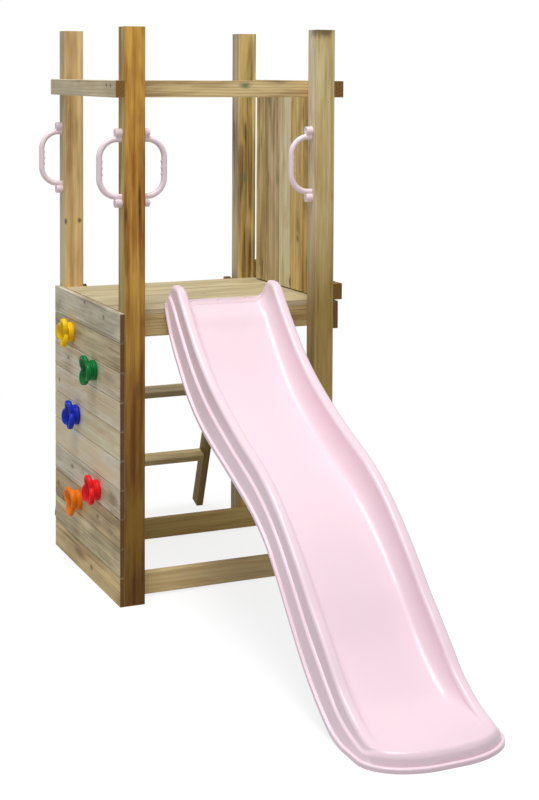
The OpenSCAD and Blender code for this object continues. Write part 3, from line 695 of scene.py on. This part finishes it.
def half_section(floor, rim, foot):
    """Points of the top from the flange's foot to the middle, with heights above the foot."""
    tall, low, side = rim - foot, floor - foot, rim - floor
    flange = min(FLANGE_H, tall)
    room = clamp((tall - flange) / (3 * RIM_R))
    outer = room * RIM_R
    inner = min(1.0, side / (2 * RIM_R)) * RIM_R
    ledge = max(flange, tall * LEDGE_UP)
    ledge_in = max(flange, min(tall - outer, ledge + LEDGE_W / 2 * room))
    points = [(HALF, 0.0), (HALF, max(0.0, flange - FLANGE_R))]
    points += arc(HALF - FLANGE_R, flange - FLANGE_R, FLANGE_R, FLANGE_R, 20, 90, 3)
    for out, up in FLANGE_CORNER:
        points.append((HALF - FLANGE_W + out, min(tall, flange + up * room)))
    for out, up in LEDGE_CORNER:
        points.append((LEDGE_HALF + out, max(flange, ledge + up * room)))
    for out, up in RIM_CORNER:
        z = max(flange, min(tall - outer, ledge_in + up * room))
        points.append((LEDGE_HALF - LEDGE_W + out, z))
    points += arc(RIM_HALF - RIM_R, tall - outer, RIM_R, outer, 0, 90, 8)
    points.append((RIM_TOP, tall))
    points += arc(TROUGH + RIM_R, tall - inner, RIM_R, inner, 90, 180, 8)
    for s in range(1, WALL_STEPS + 1):
        t = s / WALL_STEPS
        z = low + max(0.0, side - inner) * (1 - t) ** WALL_UP_BEND
        points.append((TROUGH * (1 - WALL_IN * t ** WALL_OUT_BEND), z))
    return points + [(TROUGH * share, low) for share in FLOOR_SHARES]


def under(x):
    """Way from the top to the underside at the point x, across and down, as shares of the skin."""
    if x > FLANGE_BOUND:
        return -1.0, SKIN_FLANGE
    if x >= OUTER_BOUND:
        return -1.0, SKIN_OUTER
    if x > RIM_TOP:
        return -1.0, SKIN_RIM
    if x > FLOOR_BOUND:
        return min(1.0, (RIM_TOP - x) / SKIN_TURN), SKIN_RIM
    return 0.0, 1.0


def section(d):
    """Half section from the foot to the middle: lists of top points and under points."""
    floor, foot = floor_z(d), foot_z(d)
    rim = floor + SIDE * side_share(d)
    points = half_section(floor, rim, foot)
    turn = ease(part_way(d, TIP_START, RUN - TIP_FULL * TIP_LEN))

    def height(x, z):
        lip = min(max(z, floor - foot), tip_limit(min(HALF - x, RUN - d)))
        return z + (lip - z) * turn

    points = points[:1] + [(x, height(x, z)) for x, z in points[1:]]
    upper = [(across(d, x), foot + z) for x, z in points]
    lower = [(across(d, HALF - SKIN_FOOT * SKIN), foot)]
    solid = d < CLEAR or RUN - d < SKIN
    level = 1 - min(1.0, (rim - floor) / (4 * RIM_R))
    for x, z in points[1:]:
        way, down = under(x)
        z = foot if solid else max(foot, foot + z - SKIN * max(down, level))
        lower.append((across(d, x + SKIN * way), z))
    return upper, lower


def stations():
    """Distances of the sections, closer together where the slide bends."""
    ears = EAR_ROUND - EAR_START
    out = [x - LAP for x in PLATE_STATIONS]
    out += [(EAR_START + ears * (k / EAR_STEPS) ** 2) * LAP for k in range(EAR_STEPS + 1)]
    out += [EAR_ROUND * LAP * (1 - k / PLATE_STEPS) for k in range(1, PLATE_STEPS)]
    out += [CLEAR * 2 / 3, CLEAR]
    out += [HEAD_FROM + HEAD_PITCH * k for k in range(HEAD_STEPS)]
    out += [WAVE_FROM + (WAVE_TO - WAVE_FROM) * k / WAVE_STEPS for k in range(WAVE_STEPS + 1)]
    out += [RUN - TIP_LEN * (1 - k / TIP_STEPS) ** 2 for k in range(1, TIP_STEPS - 1)]
    out += [RUN - x for x in TIP_STATIONS]
    return sorted(set(out))


def build_slide():
    """Closed mesh of the slide: a ring for each section, joined to the next, with two end caps."""
    rings = []
    for d in stations():
        top, bottom = section(d)
        y = POST - d
        ring = [(-x, y, z) for x, z in top] + [(x, y, z) for x, z in reversed(top[:-1])]
        ring += [(x, y, z) for x, z in bottom] + [(-x, y, z) for x, z in reversed(bottom[:-1])]
        rings.append(ring)
    n = len(rings[0])
    verts = [Vector(p) + Vector((TOWER / 2, 0, 0)) - MID for ring in rings for p in ring]
    faces = []
    for s in range(len(rings) - 1):
        for i in range(n):
            a, b = s * n + i, s * n + (i + 1) % n
            faces.append((b, b + n, a + n, a))
    last = (len(rings) - 1) * n
    for i in range(n // 2 - 1):
        j = n - 1 - i
        faces.append((i, i + 1, j - 1, j))
        faces.append((last + j, last + j - 1, last + i + 1, last + i))
    mesh = bpy.data.meshes.new("slide_shell")
    mesh.from_pydata(verts, [], faces)
    mesh.update()
    return mesh


def link(name, mesh, smooth_angle):
    """Object of a mesh, with doubled points joined and edges below an angle in degrees smooth."""
    obj = bpy.data.objects.new(name, mesh)
    bpy.context.scene.collection.objects.link(obj)
    bm = bmesh.new()
    bm.from_mesh(mesh)
    bmesh.ops.remove_doubles(bm, verts=bm.verts, dist=1e-6)
    bmesh.ops.recalc_face_normals(bm, faces=bm.faces)
    bm.to_mesh(mesh)
    bm.free()
    mesh.polygons.foreach_set("use_smooth", [True] * len(mesh.polygons))
    mesh.set_sharp_from_angle(angle=math.radians(smooth_angle))
    return obj


SLIDE_PINK = plastic("slide_pink", (248, 222, 231), rough=0.30, grain=700.0, strength=0.06,
                     coat=0.08, worn=0.12, specular=0.4)
slide = link("slide_shell", build_slide(), smooth_angle=50)
give(slide, SLIDE_PINK)
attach(slide, "root")
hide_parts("slide")


# Grab handles: the solids with moulded, softened joins
HANDLES = ("handle_front_outer", "handle_front_inner", "handle_right_inner", "handle_back_outer")
HANDLE_PINK = plastic("handle_pink", (255, 234, 240), rough=0.34, grain=900.0, strength=0.12,
                      worn=0.15)
for node in HANDLES:
    obj = nodes[node]
    remesh = obj.modifiers.new("moulded", "REMESH")
    remesh.mode = "VOXEL"
    remesh.voxel_size = 0.0014
    remesh.use_smooth_shade = True
    soften = obj.modifiers.new("soft_joins", "SMOOTH")
    soften.factor = 0.5
    soften.iterations = 2
    give(obj, HANDLE_PINK)
for node, mat in (("slide_screws", SLIDE_PINK), ("handle_screws", HANDLE_PINK)):
    give(nodes[node], mat)


# Climbing holds: a round foot and a groove under three thick petals round a deep bowl
HOLD_BASE, HOLD_RIM, HOLD_NOTCH, HOLD_DEPTH = 0.033, 0.0505, 0.033, 0.042
HOLD_FLOOR, HOLD_BOWL, HOLD_BORE = 0.0162, 0.0150, 0.0055
HOLD_WAIST, HOLD_UNDER, HOLD_DIP = HOLD_BASE * 0.86, 0.0280, 0.006
PETALS, HOLD_STEPS = 3, 96
# Foot and groove: ways out and heights. Flare under the petals: its shares, start, rise and bend.
HOLD_FOOT = ((-0.002, 0.0), (0.0, 0.002), (0.0, 0.0105), (-0.001, 0.0125))
HOLD_GROOVE = ((0.0006, 0.0150), (0.0, 0.0162), (0.0, 0.0180))
FLARE_SHARES, FLARE_FROM, FLARE_RISE, FLARE_BEND = (0.25, 0.5, 0.75, 0.92), 0.0190, 0.0070, 1.5
# Round of the petals' edge: ways in from the rim and down from the top, and where the bowl starts
PETAL_EDGE = (
    (0.0, 0.0060), (0.0005, 0.0035), (0.0018, 0.0013), (0.0042, 0.0), (0.0075, 0.0004),
    (0.0102, 0.0022),
)
BOWL_IN, BOWL_DOWN, BOWL_SHARES = 0.0120, 0.0055, (0.0, 0.25, 0.5, 0.75)
# Name, shares of the tower's depth and of the deck's height, turn in degrees and colour
HOLDS = [
    ("yellow", 0.717, 0.854, 90, (255, 208, 4)),
    ("green", 0.362, 0.761, 30, (0, 122, 54)),
    ("blue", 0.627, 0.562, 110, (20, 50, 192)),
    ("red", 0.313, 0.344, 0, (250, 26, 36)),
    ("orange", 0.597, 0.254, 60, (255, 136, 12)),
]


def hold_profile(petal):
    """Radius and height from the foot over the rim into the bowl, for a petal share from 0 to 1."""
    rim = HOLD_NOTCH + (HOLD_RIM - HOLD_NOTCH) * petal
    top = HOLD_DEPTH - HOLD_DIP * (1 - petal)
    out = [(HOLD_BASE + way, z) for way, z in HOLD_FOOT]
    out += [(HOLD_WAIST + way, z) for way, z in HOLD_GROOVE]
    for s in FLARE_SHARES:
        out.append((HOLD_WAIST + (rim - HOLD_WAIST) * s, FLARE_FROM + FLARE_RISE * s ** FLARE_BEND))
    out.append((rim, HOLD_UNDER))
    out += [(rim - way, top - down) for way, down in PETAL_EDGE]
    edge, low = rim - BOWL_IN, top - BOWL_DOWN
    for s in BOWL_SHARES:
        out.append((edge + (HOLD_BOWL - edge) * s, HOLD_FLOOR + (low - HOLD_FLOOR) * (1 - s) ** 2))
    return out + [(HOLD_BOWL, HOLD_FLOOR), (HOLD_BORE, HOLD_FLOOR)]


def build_hold(name, along, up, turn):
    """Closed mesh of one hold in its place on the wall."""
    rings = []
    for k in range(HOLD_STEPS):
        a = 2 * math.pi * k / HOLD_STEPS
        petal = (0.5 + 0.5 * math.cos(PETALS * a)) ** 0.5
        rings.append([(r * math.cos(a), r * math.sin(a), z) for r, z in hold_profile(petal)])
    n = len(rings[0])
    verts = [Vector(p) for ring in rings for p in ring]
    bottom, middle = len(verts), len(verts) + 1
    verts += [Vector((0, 0, 0)), Vector((0, 0, HOLD_FLOOR))]
    turns = [(k, (k + 1) % HOLD_STEPS) for k in range(HOLD_STEPS)]
    faces = []
    for k, j in turns:
        for i in range(n - 1):
            faces.append((k * n + i, j * n + i, j * n + i + 1, k * n + i + 1))
    for k, j in turns:
        faces.append((j * n, k * n, bottom))
        faces.append((k * n + n - 1, j * n + n - 1, middle))
    place = Matrix.Translation(Vector((-BOARD, TOWER * along, DECK * up)) - MID)
    outward = Matrix.Rotation(-math.pi / 2, 4, "Y")
    m = place @ outward @ Matrix.Rotation(math.radians(turn), 4, "Z")
    mesh = bpy.data.meshes.new("hold_" + name)
    mesh.from_pydata([m @ v for v in verts], [], faces)
    mesh.update()
    return mesh


for name, along, up, turn, rgb in HOLDS:
    obj = link(f"hold_{name}_moulded", build_hold(name, along, up, turn), smooth_angle=60)
    give(obj, plastic("hold_" + name, rgb, rough=0.40, grain=800.0, strength=0.30, worn=0.2,
                      specular=0.25))
    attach(obj, "root")
    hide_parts("hold_" + name)


# Floor, light and camera
FLOOR_SIZE, FLOOR_FADE, FLOOR_GLOW = 60, (1.5, 3.4), (0.82, 0.18)
FLOOR_FAINT, FLOOR_GREY = (0.24, 0.24, 0.24, 1.0), (0.52, 0.52, 0.52, 1.0)
SKY, SKY_STRENGTH = (0.95, 0.97, 1.0, 1.0), 0.34
KEY_AT, KEY_AIM, KEY_SIZE, KEY_POWER = (-1.0, -1.4, 8.0), (0.0, -0.2, 0.5), (2.6, 5.0), 522
# Camera fitted to the photo: pixels, radians and metres
PHOTO_W, PHOTO_H, FOCAL, CENTRE_X, CENTRE_Y = 539, 800, 1571.26, 283.81, 154.19
PITCH, ROLL, YAW = 0.05116, -0.00535, 0.42403
EYE = Vector((-1.50362, -4.48905, 1.62532))
SENSOR, CLIP_END = 36, 200


def stage_floor():
    """Pale floor that fades to plain white away from the part and keeps the part's shadow near it.

    Rays that reach the picture see a glow with a faint shaded layer, all others a grey floor.
    """
    bpy.ops.mesh.primitive_plane_add(size=FLOOR_SIZE, location=(0, 0, 0))
    floor = bpy.context.object
    floor.name = "floor"
    t = Tree(bpy.data.materials.new("pale_floor"))
    path = t.add("ShaderNodeLightPath").outputs
    seen = t.math("ADD", path["Is Camera Ray"], path["Is Glossy Ray"])
    seen = t.math("ADD", seen, path["Is Transmission Ray"], clamp=True)
    far = t.step(t.vec("LENGTH", t.place()), *FLOOR_FADE)
    near_glow, more_glow = FLOOR_GLOW
    glow = t.add("ShaderNodeEmission")
    t.put(glow.inputs["Strength"], t.math("MULTIPLY_ADD", far, more_glow, near_glow))
    faint = t.chain("ShaderNodeBsdfDiffuse", t.mix(far, FLOOR_FAINT, BLACK))
    plain = t.chain("ShaderNodeBsdfDiffuse", FLOOR_GREY)
    both = t.chain("ShaderNodeAddShader", glow.outputs[0], faint)
    t.end("ShaderNodeOutputMaterial", t.chain("ShaderNodeMixShader", seen, plain, both))
    give(floor, t.owner)


def world():
    """White behind the part, and soft daylight on it."""
    t = Tree(bpy.data.worlds.new("studio"))
    bpy.context.scene.world = t.owner
    path = t.add("ShaderNodeLightPath").outputs
    seen = t.math("ADD", path["Is Camera Ray"], path["Is Transmission Ray"], clamp=True)
    white = t.chain("ShaderNodeBackground", WHITE, 1.0)
    soft = t.chain("ShaderNodeBackground", SKY, SKY_STRENGTH)
    t.end("ShaderNodeOutputWorld", t.chain("ShaderNodeMixShader", seen, soft, white))


def lamp(name, at, aim, size, power):
    """Rectangular lamp at a place, turned to another."""
    data = bpy.data.lights.new(name, "AREA")
    data.shape = "RECTANGLE"
    data.size, data.size_y = size
    data.energy = power
    obj = bpy.data.objects.new(name, data)
    bpy.context.scene.collection.objects.link(obj)
    obj.location = at
    obj.rotation_euler = (Vector(aim) - Vector(at)).to_track_quat("-Z", "Y").to_euler()


def camera():
    """Camera of the photo."""
    level = math.cos(PITCH)
    ahead = Vector((math.sin(YAW) * level, math.cos(YAW) * level, -math.sin(PITCH)))
    right = Vector((math.cos(YAW), -math.sin(YAW), 0))
    down = ahead.cross(right)
    x = right * math.cos(ROLL) + down * math.sin(ROLL)
    y = -(-right * math.sin(ROLL) + down * math.cos(ROLL))
    data = bpy.data.cameras.new("camera")
    data.sensor_width = SENSOR
    data.lens = FOCAL / PHOTO_H * SENSOR
    data.shift_x = (PHOTO_W / 2 - CENTRE_X) / PHOTO_H
    data.shift_y = (CENTRE_Y - PHOTO_H / 2) / PHOTO_H
    data.clip_end = CLIP_END
    obj = bpy.data.objects.new("camera", data)
    bpy.context.scene.collection.objects.link(obj)
    m = Matrix((x, y, -ahead)).transposed().to_4x4()
    m.translation = EYE - MID
    obj.matrix_world = m
    bpy.context.scene.camera = obj


stage_floor()
world()
lamp("key", KEY_AT, KEY_AIM, KEY_SIZE, KEY_POWER)
camera()
bpy.context.scene.view_settings.view_transform = "Standard"
